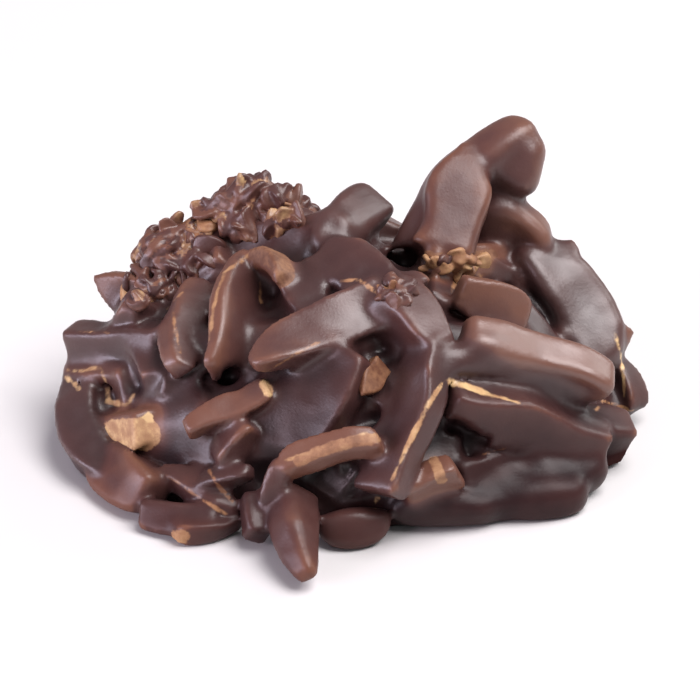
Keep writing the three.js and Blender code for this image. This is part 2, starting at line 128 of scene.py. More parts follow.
shown = [
    # each one's start and end in the picture, with how far out of the dome, its width and thickness, its roll
    # in degrees, its bow, how blunt its two ends are, and where it isn't 0.5, the power of its swell
    # the horn that stands up at the top right: an outer ridge, a front face, a tip lobe, the valley between
    # them and a fold down to the right
    ("horn ridge", (4.9, 15.4, -3.5), (15.6, 27.2, 2.4), 3.8, 4.2, 14, 1.5, (0.75, 0.75)),
    ("horn face", (7.9, 15.4, 1.3), (10.2, 25.2, 4.3), 6.6, 3.4, 5, -0.3, (0.95, 0.1), 1.8),
    ("horn tip", (13.3, 21.2, 2.1), (15.9, 26.6, 3.4), 5.4, 4.6, 10, -0.2, (0.7, 0.7)),
    ("horn valley", (11.4, 15.0, -0.4), (12.4, 24.2, 1.6), 5.6, 4.0, 10, 0, (0.85, 0.6)),
    ("horn fold", (11.6, 19.6, 1.4), (17.4, 15.8, 0.4), 4.4, 3.6, -25, 0.3, (0.75, 0.7)),
    # the piece behind the horn, and the shoulder that slopes down from it
    ("back piece", (-2.6, 15.6, 0), (2.5, 20.3, 1.5), 4.8, 3.4, 12, 0.5, (0.55, 0.75), 0.8),
    ("shoulder", (-12.6, 16.0, 0), (0.2, 16.4, 0.6), 4.6, 3.2, 20, 0.4, (0.6, 0.7)),
    ("shoulder slope", (-2.6, 15.4, 0.4), (4.0, 11.4, 0.6), 5.0, 3.2, 20, 0.4, (0.7, 0.7)),
    ("shoulder end", (-4.6, 14.2, -0.8), (-3.0, 9.6, -0.8), 3.8, 2.6, 0, 0, (0.7, 0.7)),
    # the crumbled mound at the top left
    ("mound left", (-13.6, 17.4, 0), (-9.6, 20.6, 1), 3.0, 2.8, 0, 0.2, (0.6, 0.7)),
    ("mound top", (-11.2, 19.6, 1), (-6.4, 21.0, 1.6), 3.2, 3.0, 30, 0.3, (0.7, 0.6)),
    ("mound edge", (-6.8, 17.6, 0.8), (-5.6, 21.2, 1.6), 2.4, 2.6, -35, 0, (0.7, 0.7)),
    ("mound right", (-6.0, 18.2, -0.5), (-2.4, 19.2, -0.3), 2.6, 2.6, 20, 0.2, (0.7, 0.6)),
    # the slope at the upper left
    ("upper slope", (-18.2, 15.4, 0), (-12.0, 17.0, 0.6), 3.4, 2.6, 20, 0.3, (0.5, 0.6)),
    ("lower slope", (-19.4, 12.2, 0.2), (-12.8, 14.2, 0.8), 3.0, 2.8, -25, 0.5, (0.4, 0.6)),
    ("pointed flake", (-16.5, 11.0, -0.6), (-22.9, 13.7, 0.3), 3.8, 1.6, 25, 0, (0.9, 0.03), 1.1),
    ("bent end", (-8.7, 14.9, 1), (-5.8, 13.2, 1.6), 2.1, 2.4, -10, 0.8, (0.7, 0.7)),
    # three upright leaves side by side
    ("first leaf", (-8.8, 15.6, 2.4), (-12.0, 5.3, 0.9), 7.4, 2.4, 44, 1.0, (0.25, 0.35), 0.8),
    ("second leaf", (-13.6, 13.2, 0.8), (-14.9, 5.4, 1.3), 3.4, 2.8, 28, -0.5, (0.4, 0.5)),
    ("third leaf", (-16.6, 12.2, -0.4), (-17.2, 4.4, 0.2), 3.0, 2.6, -25, -0.5, (0.5, 0.6)),
    # the left flank: a square stick, a boat-shaped piece, flakes and a snapped end that faces the viewer
    ("square stick", (-16.0, 7.8, -1), (-24.6, 7.8, 0.9), 3.3, 3.2, 20, 0, (0.9, 0.95)),
    ("boat", (-23.9, 5.1, 0.8), (-20.8, -4.1, 0.4), 4.4, 3.4, -18, -1.1, (0.55, 0.3), 0.8),
    ("web", (-25.0, 5.9, 0.6), (-20.2, 4.8, 1.4), 1.9, 1.4, 35, -0.4, (0.5, 0.5)),
    ("web hook", (-21.9, 5.6, 1.5), (-21.3, 1.6, 1.3), 1.3, 1.3, -30, 0.2, (0.7, 0.4)),
    ("snapped chunk", (-21.2, 0.1, 0.4), (-17.6, 0.5, 0.8), 3.2, 3.0, -12, 0, (0.75, 0.95)),
    ("left block", (-21.4, -2.6, 0.2), (-17.0, -5.6, 0.8), 4.8, 3.8, -6, -0.3, (0.7, 0.7)),
    ("left foot", (-18.0, -6.6, -0.2), (-11.4, -7.4, 0.4), 3.4, 3.0, 0, -0.5, (0.6, 0.6)),
    # the lower left
    ("low stick", (-15.0, -8.7, 1.2), (-9.6, -7.4, 0), 2.8, 2.2, -30, -0.5, (0.5, 0.6), 0.8),
    ("crossed stick", (-16.4, -3.4, 0.4), (-9.9, -7.2, 1.2), 2.8, 2.8, 40, 0.3, (0.3, 0.3), 0.8),
    ("sunk piece", (-16.2, 2.6, -4.6), (-12.6, -3.4, -3.4), 4.2, 3.0, -30, 0.3, (0.6, 0.6)),
    ("cut stick", (-14.2, 0.1, 1.8), (-7.2, 3.9, -1.0), 2.6, 2.4, 20, 0, (0.7, 0.9)),
    ("short end", (-12.8, -4.4, 0.2), (-8.6, -3.2, 0.6), 2.2, 2.0, 30, 0.3, (0.4, 0.6)),
    ("joint end", (-10.8, -2.6, -0.2), (-8.6, 1.0, -0.2), 2.6, 2.4, -30, 0.2, (0.6, 0.6)),
    ("standing end", (-8.4, -5.4, 0.2), (-8.1, -9.0, 0.8), 2.7, 2.8, 20, 0, (0.7, 0.7)),
    # the middle: a wing over a deep cleft, and the broad slab under it
    ("wing", (-8.8, 6.1, 1.8), (2.8, 11.9, 0.5), 5.2, 2.2, 22, -0.3, (0.25, 0.8), 0.8),
    ("broad slab", (-0.4, 7.4, -0.6), (-4.8, -1.8, -2.4), 6.8, 3.4, -40, 0, (0.8, 0.7)),
    ("arch", (-5.8, -3.0, 1.2), (2.6, -0.8, 1), 2.4, 2.8, 40, 0.4, (0.6, 0.7)),
    ("arch leg", (-5.7, -2.6, 1.3), (-6.6, -6.8, 1), 2.4, 2.4, 0, -0.3, (0.7, 0.5)),
    ("spike", (-4.5, -5.4, -0.6), (-4.2, -12.2, 0.2), 4.0, 3.4, 45, -0.3, (0.8, 0.25), 0.7),
    ("nut end", (-2.8, -8.2, 0), (3.4, -7.4, 0), 3.6, 3.0, -25, -0.6, (0.5, 0.4), 0.8),
    # the crossing right of the middle, with the long piece that runs down from it
    ("crossing", (3.4, 11.8, 0.2), (8.0, 7.4, 1.8), 4.4, 3.4, 30, 0.2, (0.7, 0.6)),
    ("long piece", (7.2, 8.0, 1.5), (2.6, -5.2, 1.5), 5.4, 2.6, -50, 0.2, (0.5, 0.85)),
    ("crossing end", (3.2, 11.8, 0.8), (6.4, 13.0, 0.6), 2.2, 2.2, 25, 0.2, (0.7, 0.7)),
    ("ledge", (6.8, 14.9, 0.4), (13.2, 15.1, 0.6), 2.8, 2.6, 0, 0.2, (0.7, 0.6)),
    ("square flake", (9.4, 12.4, 0.8), (15.6, 10.2, 0.2), 4.2, 2.2, -2, -0.3, (0.75, 0.5)),
    # the right flank: a stick over a slab, inside a broad curved piece
    ("thick stick", (9.9, 8.9, 2.2), (23.0, 4.3, 11.3), 3.8, 3.2, 28, 0.2, (0.8, 0.8)),
    ("curved piece", (15.6, 16.4, 0.2), (21.8, 4.6, 1.0), 6.4, 4.0, 22, 1.5, (0.7, 0.75)),
    ("under stick", (8.4, 6.2, 1.5), (20.4, 2.6, 3.5), 3.0, 3.2, 28, 0.5, (0.6, 0.8)),
    ("right slab", (8.6, 3.0, 1.0), (21.6, -1.5, 6.2), 5.0, 3.4, -28, 0, (0.6, 0.98), 0.8),
    ("slab end", (18.6, 0.2, -1.0), (24.4, -0.5, 5.2), 5.4, 3.6, -38, -0.4, (0.8, 0.7)),
    ("outer end", (22.6, 6.6, -0.4), (24.9, 1.6, 0.2), 2.6, 2.4, -30, 0.4, (0.7, 0.6)),
    ("outer flake", (21.8, 7.4, -0.6), (25.1, 8.8, -0.2), 2.4, 1.6, 20, 0, (0.9, 0.1), 1),
    ("outer stub", (17.4, 15.0, -0.8), (20.3, 16.4, -0.4), 2.0, 1.8, 0, 0, (0.9, 0.6)),
    # the lower right, down to the foot
    ("bare chunk", (4.8, -5.2, 0.4), (9.2, -3.0, 1.3), 3.0, 3.0, 30, 0.2, (0.6, 0.8)),
    ("thin end", (9.4, -3.7, -0.8), (15.2, -1.9, -1.4), 2.2, 1.8, -20, 0, (0.6, 0.3)),
    ("near foot", (3.6, -6.4, -1.2), (12.4, -6.4, -1.2), 3.8, 3.2, -30, -0.3, (0.5, 0.7), 0.7),
    ("middle foot", (10.6, -5.9, -1.2), (20.8, -4.8, -1.2), 4.4, 3.6, -44, -0.5, (0.6, 0.5)),
    ("far foot", (15.0, -3.2, -1.2), (22.4, -3.6, -1.2), 4.0, 3.2, -35, 0.0, (0.6, 0.5)),
]


def seen_at(place, thick):
    """Where the line of sight through a place in the picture meets the heap's dome, moved out by the lift.

    A line that passes the dome by takes its nearest point. Nothing goes lower than half its thickness.
    """
    sideways, upwards, lift = place
    flat = sideways * across + upwards * up
    a = np.sum((toward / heap) ** 2)
    b = np.sum(flat * toward / heap**2)
    under = b * b - a * (np.sum((flat / heap) ** 2) - 1)
    depth = (-b + np.sqrt(max(under, 0))) / a + lift
    table_depth = (thick / 2 - flat[2]) / toward[2]
    return flat + max(depth, table_depth) * toward


def turned(vector, axis, angle):
    """A vector that is square to an axis, turned about it."""
    return vector * np.cos(angle) + np.cross(axis, vector) * np.sin(angle)


joint_width = 0.75
edge_round = 0.32


def lay(start, end, facing, wide, thick, roll, bow, blunt, swell=0.5):
    """A sliver: its axis, its broad face's outward direction, the side across it, its cut and its coat."""
    length = np.linalg.norm(end - start)
    axis = (end - start) / length
    flat_out = facing - np.dot(facing, axis) * axis
    flat_out /= np.linalg.norm(flat_out)
    sideways = np.cross(axis, flat_out)
    angle = -np.radians(roll)
    return {
        "start": start,
        "axis": axis,
        "length": length,
        "sideways": sideways,
        "out": turned(flat_out, axis, angle),
        "side": turned(sideways, axis, angle),
        "wide": wide,
        "thick": thick,
        "bow": bow,
        "blunt": blunt,
        "swell": swell,
        "twist": 0.0,
        "wedge": 0.0,
        "curl": 0.0,
        "uneven": (0.0, 0.0, 0.0),
        "round": edge_round,
        "joint": joint_width,
        "gloss": 0.0,
        "dull": 0.0,
    }


def draws(seed):
    """A repeatable draw: Park and Miller's generator, which gives numbers from 0 to 1."""
    state = seed
    while True:
        state = state * 48271 % 2147483647
        yield state / 2147483647


most_roll = 40
most_bow = 1
least_blunt, more_blunt = 0.2, 0.6
lean_share, lean_inwards = 0.5, 0.35


def scattered(count, near_limit, inset, sizes, seed):
    """Slivers spread evenly over the dome by the golden angle, each lying along it at a random heading.

    Those that face the viewer by more than the limit are left out. The inset sinks the rest into the dome.
    """
    draw = draws(seed)
    (least_long, more_long), (least_wide, more_wide), (least_thick, more_thick) = sizes
    for k in range(count):
        height = (k + 0.5) / count
        angle = k * np.pi * (3 - np.sqrt(5))
        heading = 2 * np.pi * next(draw)
        lean = lean_share * (next(draw) - lean_inwards)
        length = least_long + more_long * next(draw)
        wide = least_wide + more_wide * next(draw)
        thick = least_thick + more_thick * next(draw)
        roll = 2 * most_roll * (next(draw) - 0.5)
        bow = 2 * most_bow * (next(draw) - 0.5)
        blunt = (least_blunt + more_blunt * next(draw), least_blunt + more_blunt * next(draw))
        ring = np.sqrt(1 - height * height)
        middle = np.array([ring * np.cos(angle), ring * np.sin(angle), height]) * heap
        out = middle / heap**2
        out /= np.linalg.norm(out)
        if out @ toward > near_limit:
            continue
        middle = middle - inset * out
        level = np.cross([0, 0, 1], out)
        level /= np.linalg.norm(level)
        rising = np.cross(out, level)
        axis = np.cos(heading) * level + np.sin(heading) * rising + lean * out
        axis /= np.linalg.norm(axis)
        start = middle - axis * length / 2
        end = middle + axis * length / 2
        start[2] = max(start[2], thick / 2)
        end[2] = max(end[2], thick / 2)
        yield lay(start, end, out, wide, thick, roll, bow, blunt)


names = [name for name, *_ in shown]
slivers = [
    lay(seen_at(a, thick), seen_at(b, thick), toward, wide, thick, *shape)
    for _, a, b, wide, thick, *shape in shown
]
far_sizes = ((10.5, 5.5), (3.2, 1.6), (2.4, 1.0))
slivers += scattered(70, near_limit=0.04, inset=0, sizes=far_sizes, seed=20)

# No sliver is cut quite true: each twists a little along its length, in degrees, is thicker at one edge, and
# swells and shrinks unevenly on its way.
most_twist = 24
most_wedge = 0.4
cut = np.random.default_rng(8)
for sliver in slivers:
    sliver["twist"] = cut.uniform(-most_twist, most_twist)
    sliver["wedge"] = cut.uniform(-most_wedge, most_wedge)
    sliver["uneven"] = cut.uniform(0, 2 * np.pi, 3)

# What sets single slivers apart: their twist, how round their edges are, up to 1 for a half round, how wide
# the paste fills the joint round them, how thin their coat is, how much glossier it is, and how much painted
# shade dulls and darkens it.
own_ways = {
    "horn ridge": {"twist": 10, "round": 0.8, "joint": 1.2, "thin": 0.4},
    "horn face": {"twist": -4, "round": 0.6, "joint": 1.1, "thin": 0.42, "gloss": -0.14},
    "horn tip": {"twist": 10, "round": 0.9, "joint": 1.5, "thin": 0.32},
    "horn valley": {"joint": 1.2, "thin": 0.5},
    "horn fold": {"round": 0.7, "joint": 1.4, "thin": 0.55},
    "back piece": {"twist": 8, "round": 0.6, "joint": 1.4, "thin": 0.15, "gloss": 0.12},
    "shoulder": {"joint": 1.4},
    "shoulder slope": {"joint": 1.6},
    "shoulder end": {"joint": 1.4},
    "upper slope": {"joint": 1.2},
    "lower slope": {"joint": 1.2},
    "pointed flake": {"twist": 0, "round": 0.3},
    "bent end": {"thin": 0.7},
    "first leaf": {"twist": 20, "round": 0.6, "thin": 0.35},
    "second leaf": {"gloss": 0.15},
    "square stick": {"joint": 1.2, "thin": 0.1},
    "boat": {"twist": 10, "joint": 0.6, "thin": 0.1, "gloss": 0.35},
    "web": {"joint": 1},
    "snapped chunk": {"thin": 0.8},
    "left block": {"joint": 0.6, "thin": 0.62},
    "left foot": {"joint": 0.6},
    "low stick": {"thin": 0.3},
    "cut stick": {"thin": 0.5},
    "standing end": {"thin": 0.1},
    "wing": {"twist": -44, "thin": 0.3, "gloss": 0.16},
    "broad slab": {"joint": 1.2, "thin": 0.08, "gloss": -0.1, "dull": 0.2},
    "arch": {"thin": 0.85},
    "spike": {"round": 0.6, "thin": 0.34},
    "nut end": {"round": 0.8, "thin": 0.3},
    "crossing": {"twist": 0, "joint": 2},
    "long piece": {"thin": 0.12},
    "ledge": {"thin": 0.8},
    "square flake": {"twist": 20, "thin": 0.5},
    "thick stick": {"twist": 6, "round": 0.6, "thin": 0.55, "gloss": 0.3},
    "curved piece": {"twist": -20, "round": 0.75, "thin": 0.2, "gloss": 0.2},
    "under stick": {"round": 0.9, "joint": 1.9, "thin": 0.15},
    "right slab": {"twist": 6, "thin": 0.2, "gloss": -0.15, "dull": 0.2},
    "slab end": {"joint": 1.2, "thin": 0.1, "gloss": -0.25, "dull": 0.2},
    "bare chunk": {"thin": 0.8},
    "thin end": {"dull": 1},
    "near foot": {"round": 1, "joint": 1.3, "thin": 0, "dull": 1},
    "middle foot": {"round": 1, "joint": 1.6, "thin": 0, "dull": 1},
    "far foot": {"round": 1, "joint": 1.6, "thin": 0, "dull": 1},
}
for name, sliver in zip(names, slivers):
    sliver.update(own_ways.get(name, {}))

# Smaller pieces fill in behind, all round, where the solid has its plain core. Some more lie further out on
# the flanks and the far side.
fill_sizes = ((6.0, 5.0), (2.6, 1.4), (1.9, 1.0))
filling = list(scattered(220, near_limit=2, inset=3.6, sizes=fill_sizes, seed=7))
filling += scattered(120, near_limit=0.5, inset=2.0, sizes=fill_sizes, seed=13)

# Gaps that the paste never filled: where each is in the picture, its radius, and how far in it goes. The
# first ones lie behind the slivers of the front, and the open ones cut into those as well.
gaps = [
    ((4.7, 15.0), 1.5, 7),
    ((14.0, 14.2), 0.8, 6),
    ((2.2, 7.6), 1.5, 7),
    ((1.8, 4.6), 1.7, 8),
    ((1.4, 1.6), 1.4, 7),
    ((-1.2, 6.4), 1.2, 6),
    ((-4.0, 6.2), 0.9, 5),
    ((-11.4, 4.4), 1.2, 6),
    ((-9.2, 5.4), 1.1, 6),
    ((-6.6, 11.4), 1.1, 4),
    ((-17.4, 6.6), 0.8, 4),
    ((-19.4, 4.0), 0.9, 4),
    ((-23.8, 3.9), 0.9, 3),
    ((-7.9, -3.4), 1.3, 7),
    ((-2.2, -4.8), 1.6, 8),
    ((0.4, -4.2), 1.3, 8),
    ((10.6, -0.8), 1.3, 7),
    ((13.2, -1.8), 1.2, 5),
    ((5.2, -6.2), 0.9, 4),
]
open_gaps = [
    ((4.8, 15.2), 1.15, 5),
    ((-10.4, 4.9), 0.9, 4),
    ((9.0, 0.5), 0.5, 1.6),
    ((9.9, 0.2), 0.5, 1.6),
    ((10.8, -0.2), 0.42, 1.4),
    ((11.8, -0.6), 0.32, 1.2),
    ((-23.3, 3.7), 0.6, 2),
]


# The chocolate skin, with the slivers and the core inside it. The almonds and the paste are stirred together
# and spooned out, so the paste fills the joints, thins over sharp edges, and sets flat on the sheet.
def block(field_axes, sliver, margin):
    """The part of the grid that a sliver can reach, as three slices."""
    ends = np.array([sliver["start"], sliver["start"] + sliver["axis"] * sliver["length"]])
    reach = 0.5 * np.hypot(sliver["wide"], sliver["thick"]) + abs(sliver["bow"]) + margin
    low = ends.min(0) - reach
    high = ends.max(0) + reach
    return tuple(
        slice(*np.searchsorted(line, [a, b])) for line, a, b in zip(field_axes, low, high)
    )


# The skin lies a little outside a field's zero where slivers meet, so each is made that much slimmer. Its
# width and thickness stray by a share, and its line by millimetres, in waves of so many radians a millimetre.
half_share = 0.48
width_wave, width_pace = 0.07, 0.6
thickness_wave, thickness_pace = 0.08, 0.7
line_wave, line_pace = 0.15, 0.5


def sliver_field(sliver, x, y, z):
    """The distance from a sliver: that of a box with round edges, round a line that bows to one side.

    Its half sizes at a place along it are the full ones times the swell and a slow sine wave, and beyond an
    end they stay. The line strays by a third wave. The box turns about the line by the twist, and the wedge
    makes one edge thicker than the other.
    """
    start, axis, side, out = (sliver[key] for key in ("start", "axis", "side", "out"))
    dx, dy, dz = x - start[0], y - start[1], z - start[2]
    along = dx * axis[0] + dy * axis[1] + dz * axis[2]
    place = np.clip(along / sliver["length"], 0, 1)
    arch = 4 * place * (1 - place)
    bend = sliver["bow"] * arch
    first, last = sliver["blunt"]
    blunt = first + (last - first) * place
    size = blunt + (1 - blunt) * np.sin(np.pi * place) ** sliver["swell"]
    phase_wide, phase_thick, phase_bow = sliver["uneven"]
    half_wide = half_share * sliver["wide"] * size
    half_wide = half_wide * (1 + width_wave * np.sin(along * width_pace + phase_wide))
    half_thick = half_share * sliver["thick"] * size**thickness_taper
    half_thick = half_thick * (1 + thickness_wave * np.sin(along * thickness_pace + phase_thick))
    bend = bend + line_wave * np.sin(along * line_pace + phase_bow)
    flat_u = dx * side[0] + dy * side[1] + dz * side[2] + bend * (sliver["sideways"] @ side)
    flat_v = dx * out[0] + dy * out[1] + dz * out[2] + bend * (sliver["sideways"] @ out)
    flat_v = flat_v - sliver["curl"] * arch
    turn = np.radians(sliver["twist"]) * (place - 0.5)
    u = flat_u * np.cos(turn) + flat_v * np.sin(turn)
    v = flat_v * np.cos(turn) - flat_u * np.sin(turn)
    half_thick = half_thick * (1 + sliver["wedge"] * np.clip(u / half_wide, -1, 1))
    corner = sliver["round"] * np.minimum(half_wide, half_thick)
    qu = np.abs(u) - half_wide + corner
    qv = np.abs(v) - half_thick + corner
    qw = np.abs(along - sliver["length"] / 2) - sliver["length"] / 2 + corner
    outside = np.sqrt(np.maximum(qu, 0) ** 2 + np.maximum(qv, 0) ** 2 + np.maximum(qw, 0) ** 2)
    return outside + np.minimum(np.maximum(np.maximum(qu, qv), qw), 0) - corner


def soft_min(a, b, blend):
    """The lesser of two distances, rounded off where they differ by less than the blend."""
    close = np.maximum(blend - np.abs(a - b), 0) / blend
    return np.minimum(a, b) - close * close * blend / 4


def waves(x, y, z, length, count, seed):
    """Smooth noise, mostly from -1 to 1: the sum of sine waves of about one length, in random directions."""
    rng = np.random.default_rng(seed)
    usual_peak = 1.6
    total = 0.0
    for _ in range(count):
        direction = rng.normal(size=3)
        direction *= 2 * np.pi / (length * rng.uniform(0.7, 1.4) * np.linalg.norm(direction))
        phase = rng.uniform(0, 6.28)
        total = total + np.sin(x * direction[0] + y * direction[1] + z * direction[2] + phase)
    return total * np.sqrt(2 / count) / usual_peak


core = np.array([20.6, 16.6, 14.6])
core_power = 2.4


def core_field(x, y, z):
    """The distance from the core, a dome somewhat squarer than an ellipsoid, along the ray outwards."""
    powers = sum(np.abs(line / half) ** core_power for line, half in zip((x, y, z), core))
    reach = powers ** (1 / core_power)
    far = np.sqrt(x * x + y * y + z * z)
    return far * (1 - 1 / np.maximum(reach, 0.05))


grid_step = 0.325
grid_low = np.array([-28.5, -32.5, -1.2])
grid_high = np.array([28.5, 23.5, 30.0])
grid_lines = [np.arange(a, b, grid_step) for a, b in zip(grid_low, grid_high)]
grid_x, grid_y, grid_z = np.meshgrid(*grid_lines, indexing="ij", sparse=True)

# Nothing in the heap is quite straight: all of it is bent through a smooth random shift of the grid.
bend_size = 0.16
bent = [
    line + bend_size * waves(grid_x, grid_y, grid_z, length=8.0, count=7, seed=40 + k)
    for k, line in enumerate((grid_x, grid_y, grid_z))
]

# The core with its lumps comes first, and the rest is joined to it. Each cell that is near a sliver of the
# front or the far side keeps that sliver's number, and the others -1.
core_sink = 0.1
lump_height = 0.6
lumps = waves(grid_x, grid_y, grid_z, length=7.0, count=10, seed=3)
skin = core_field(*bent) + core_sink + lump_height * lumps
near_reach = 1.2
nearest = np.full(skin.shape, -1)
nearest_distance = np.full(skin.shape, near_reach)
field_margin = 2.0


def carve(place, radius, depth):
    """A ragged tunnel cut into the skin, along the line of sight through a place in the picture."""
    height_over_dome = 3.0
    length = depth + height_over_dome
    start = seen_at((*place, height_over_dome), 0) - length * toward
    tunnel = {"start": start, "axis": toward, "length": length, "wide": radius, "thick": radius, "bow": 0}
    part = block(grid_lines, tunnel, radius + 1)
    offset = [line[part] - at for line, at in zip(bent, start)]
    along = np.clip(sum(line * at for line, at in zip(offset, toward)), 0, length)
    off_line = np.sqrt(sum((line - along * at) ** 2 for line, at in zip(offset, toward)))
    ragged = 1.15 + 0.4 * waves(*(line[part] for line in bent), length=4.0, count=8, seed=17)
    rim_blend = 0.6
    skin[part] = -soft_min(-skin[part], off_line - radius * ragged, rim_blend)


for gap in gaps:
    carve(*gap)
for sliver in filling:
    part = block(grid_lines, sliver, field_margin)
    here = sliver_field(sliver, *(line[part] for line in bent))
    skin[part] = soft_min(skin[part], here, sliver["joint"])
for index, sliver in enumerate(slivers):
    part = block(grid_lines, sliver, field_margin)
    here = sliver_field(sliver, *(line[part] for line in bent))
    skin[part] = soft_min(skin[part], here, sliver["joint"])
    closer = here < nearest_distance[part]
    nearest[part][closer] = index
    nearest_distance[part][closer] = here[closer]
for gap in open_gaps:
    carve(*gap)

# Close to, the coat has shallow swells some millimetres apart, and a finer ripple. The table cuts it flat.
swell_height = 0.06
ripple_height = 0.02
near_cells = np.nonzero(np.abs(skin) < 2)
near_places = [line[i] for line, i in zip(grid_lines, near_cells)]
swells = np.abs(waves(*near_places, length=5.5, count=12, seed=11))
ripples = waves(*near_places, length=2.2, count=14, seed=12)
skin[near_cells] += swell_height * swells + ripple_height * ripples - swell_height / 2
table_round = 0.5
skin = -soft_min(-skin, grid_z + 0 * skin, table_round)


def flood(seed_cells, allowed):
    """The cells that can be reached from the seeds through allowed ones, stepping over faces."""
    reached = seed_cells & allowed
    while True:
        grown = reached.copy()
        for axis in range(3):
            lower = [slice(None)] * 3
            upper = [slice(None)] * 3
            lower[axis], upper[axis] = slice(None, -1), slice(1, None)
            grown[tuple(upper)] |= grown[tuple(lower)] & allowed[tuple(upper)]
            grown[tuple(lower)] |= grown[tuple(upper)] & allowed[tuple(lower)]
        if grown.sum() == reached.sum():
            return grown
        reached = grown


# A sealed hollow is filled, and a scrap that touches nothing is dropped.
rim = np.zeros(skin.shape, bool)
rim[0], rim[-1], rim[:, 0], rim[:, -1], rim[:, :, -1] = (True,) * 5
air = flood(rim, skin >= 0)
just_inside = 0.1
skin[(skin >= 0) & ~air] = -just_inside
middle = np.zeros(skin.shape, bool)
middle[tuple(np.searchsorted(line, at) for line, at in zip(grid_lines, (0, 0, 5)))] = True
body = flood(middle, skin < 0)
skin[(skin < 0) & ~body] = just_inside


def surface_of(field, low, step):
    """The surface where a field on a grid is zero, as points and four-sided faces.

    Every grid cell that the surface passes has one point, the mean of where its edges cross zero, and every
    edge that crosses zero has one face between the four cells round it, turned towards the positive side.
    """
    cells = np.array(field.shape) - 1
    total = int(np.prod(cells))
    sums = np.zeros((3, total))
    counts = np.zeros(total)
    crossings = []
    for axis in range(3):
        first = np.moveaxis(field, axis, 0)[:-1]
        second = np.moveaxis(field, axis, 0)[1:]
        found = np.array(np.nonzero((first < 0) != (second < 0)))
        a, b = first[tuple(found)], second[tuple(found)]
        others = [(axis + 1) % 3, (axis + 2) % 3]
        order = [axis] + [k for k in range(3) if k != axis]
        edge = np.empty_like(found)
        for row, k in enumerate(order):
            edge[k] = found[row]
        place = edge.astype(float)
        place[axis] += a / (a - b)
        ring = []
        for step_u, step_v in ((-1, -1), (0, -1), (0, 0), (-1, 0)):
            cell = edge.copy()
            cell[others[0]] += step_u
            cell[others[1]] += step_v
            inside = np.all((cell >= 0) & (cell < cells[:, None]), axis=0)
            flat = np.where(inside, (cell[0] * cells[1] + cell[1]) * cells[2] + cell[2], -1)
            counts += np.bincount(flat[inside], minlength=total)
            for k in range(3):
                sums[k] += np.bincount(flat[inside], weights=place[k][inside], minlength=total)
            ring.append(flat)
        ring = np.array(ring)
        whole = np.all(ring >= 0, axis=0)
        crossings.append(np.where(a < 0, ring, ring[::-1])[:, whole])
    used = counts > 0
    number = np.cumsum(used) - 1
    points = (sums[:, used] / counts[used]).T * step + low
    faces = number[np.concatenate(crossings, axis=1)].T
    return points, faces


def new_piece(name, points, faces):
    """A mesh object from points in millimetres and faces that all have the same number of corners."""
    mesh = bpy.data.meshes.new(name)
    mesh.vertices.add(len(points))
    mesh.vertices.foreach_set("co", (points * MM).astype(np.float32).ravel())
    mesh.loops.add(faces.size)
    mesh.loops.foreach_set("vertex_index", faces.astype(np.int32).ravel())
    mesh.polygons.add(len(faces))
    mesh.polygons.foreach_set("loop_start", np.arange(0, faces.size, faces.shape[1], dtype=np.int32))
    mesh.polygons.foreach_set("use_smooth", np.ones(len(faces), bool))
    mesh.update(calc_edges=True)
    mesh.validate()
    piece = bpy.data.objects.new(name, mesh)
    bpy.context.scene.collection.objects.link(piece)
    return piece


def note(piece, name, values):
    """One number for each point of a piece, for its material to read."""
    layer = piece.data.attributes.new(name, "FLOAT", "POINT")
    layer.data.foreach_set("value", np.asarray(values, np.float32))


def averaged(field, cells):
    """A field blurred by a running mean over an odd number of cells each way."""
    half = cells // 2
    for axis in range(3):
        spread = [(half + 1, half) if k == axis else (0, 0) for k in range(3)]
        padded = np.moveaxis(np.pad(field, spread, "edge"), axis, 0)
        sums = np.cumsum(padded, axis=0)
        field = np.moveaxis((sums[cells:] - sums[:-cells]) / cells, 0, axis)
    return field


def sampled(field, points):
    """A grid's values at points, taken from the eight corners round each."""
    at = np.clip((points - grid_low) / grid_step, 0, np.array(field.shape) - 1)
    base = np.minimum(np.floor(at).astype(int), np.array(field.shape) - 2)
    part = at - base
    total = 0.0
    for corner in np.ndindex(2, 2, 2):
        weight = np.prod(np.where(corner, part, 1 - part), axis=1)
        total = total + weight * field[tuple((base + corner).T)]
    return total


points, faces = surface_of(skin, grid_low, grid_step)
coat = new_piece("chocolate_coat", points, faces)

# How sharply the skin bulges, from the mean of the field close round a point: over a flat face it is zero.
# The mean over a wider box tells the hollows, which the material darkens as painted shade.
bulge_cells, hollow_cells = 5, 15
note(coat, "bulge", sampled(averaged(np.clip(skin, -1.5, 1.5), bulge_cells), points))
# Painted shade: how deep in a hollow a point lies, which later darkens its colour.
hollow_shade = -sampled(averaged(np.clip(skin, -3, 3), hollow_cells), points)
note(coat, "hollow_shade", hollow_shade)


def over_slivers(key, core_value, cells):
    """What each sliver has under a key, on the skin's points, and blurred over some cells where two meet.

    The core's value stands last in the list, where -1 finds it.
    """
    values = np.array([sliver[key] for sliver in slivers] + [core_value])
    return sampled(averaged(values[nearest], cells), points)


# Deep in a joint, down by the table and on a few slivers that lie in shade, the paste is given less
# shine and a darker colour: painted shade.
joint_shade = np.clip((hollow_shade - 0.1) / 0.7, 0, 1)
table_shade_height = 5.0
table_shade = np.clip(1.1 - points[:, 2] / table_shade_height, 0, 0.8)
# Painted shade on the slivers that lie in shadow, such as the feet under the slab's overhang.
sliver_shade = over_slivers("dull", 0.0, 7)
note(coat, "dull", np.maximum(joint_shade, np.maximum(table_shade, sliver_shade)))
note(coat, "gloss", over_slivers("gloss", 0.0, 3))

# Some slivers have a thin coat that lets the warm almond through, and some a thick dark one.
least_thin, most_thin = 0.1, 0.5
for sliver, thinness in zip(slivers, np.random.default_rng(5).uniform(least_thin, most_thin, len(slivers))):
    sliver.setdefault("thin", thinness)
note(coat, "thinness", over_slivers("thin", least_thin, 3))

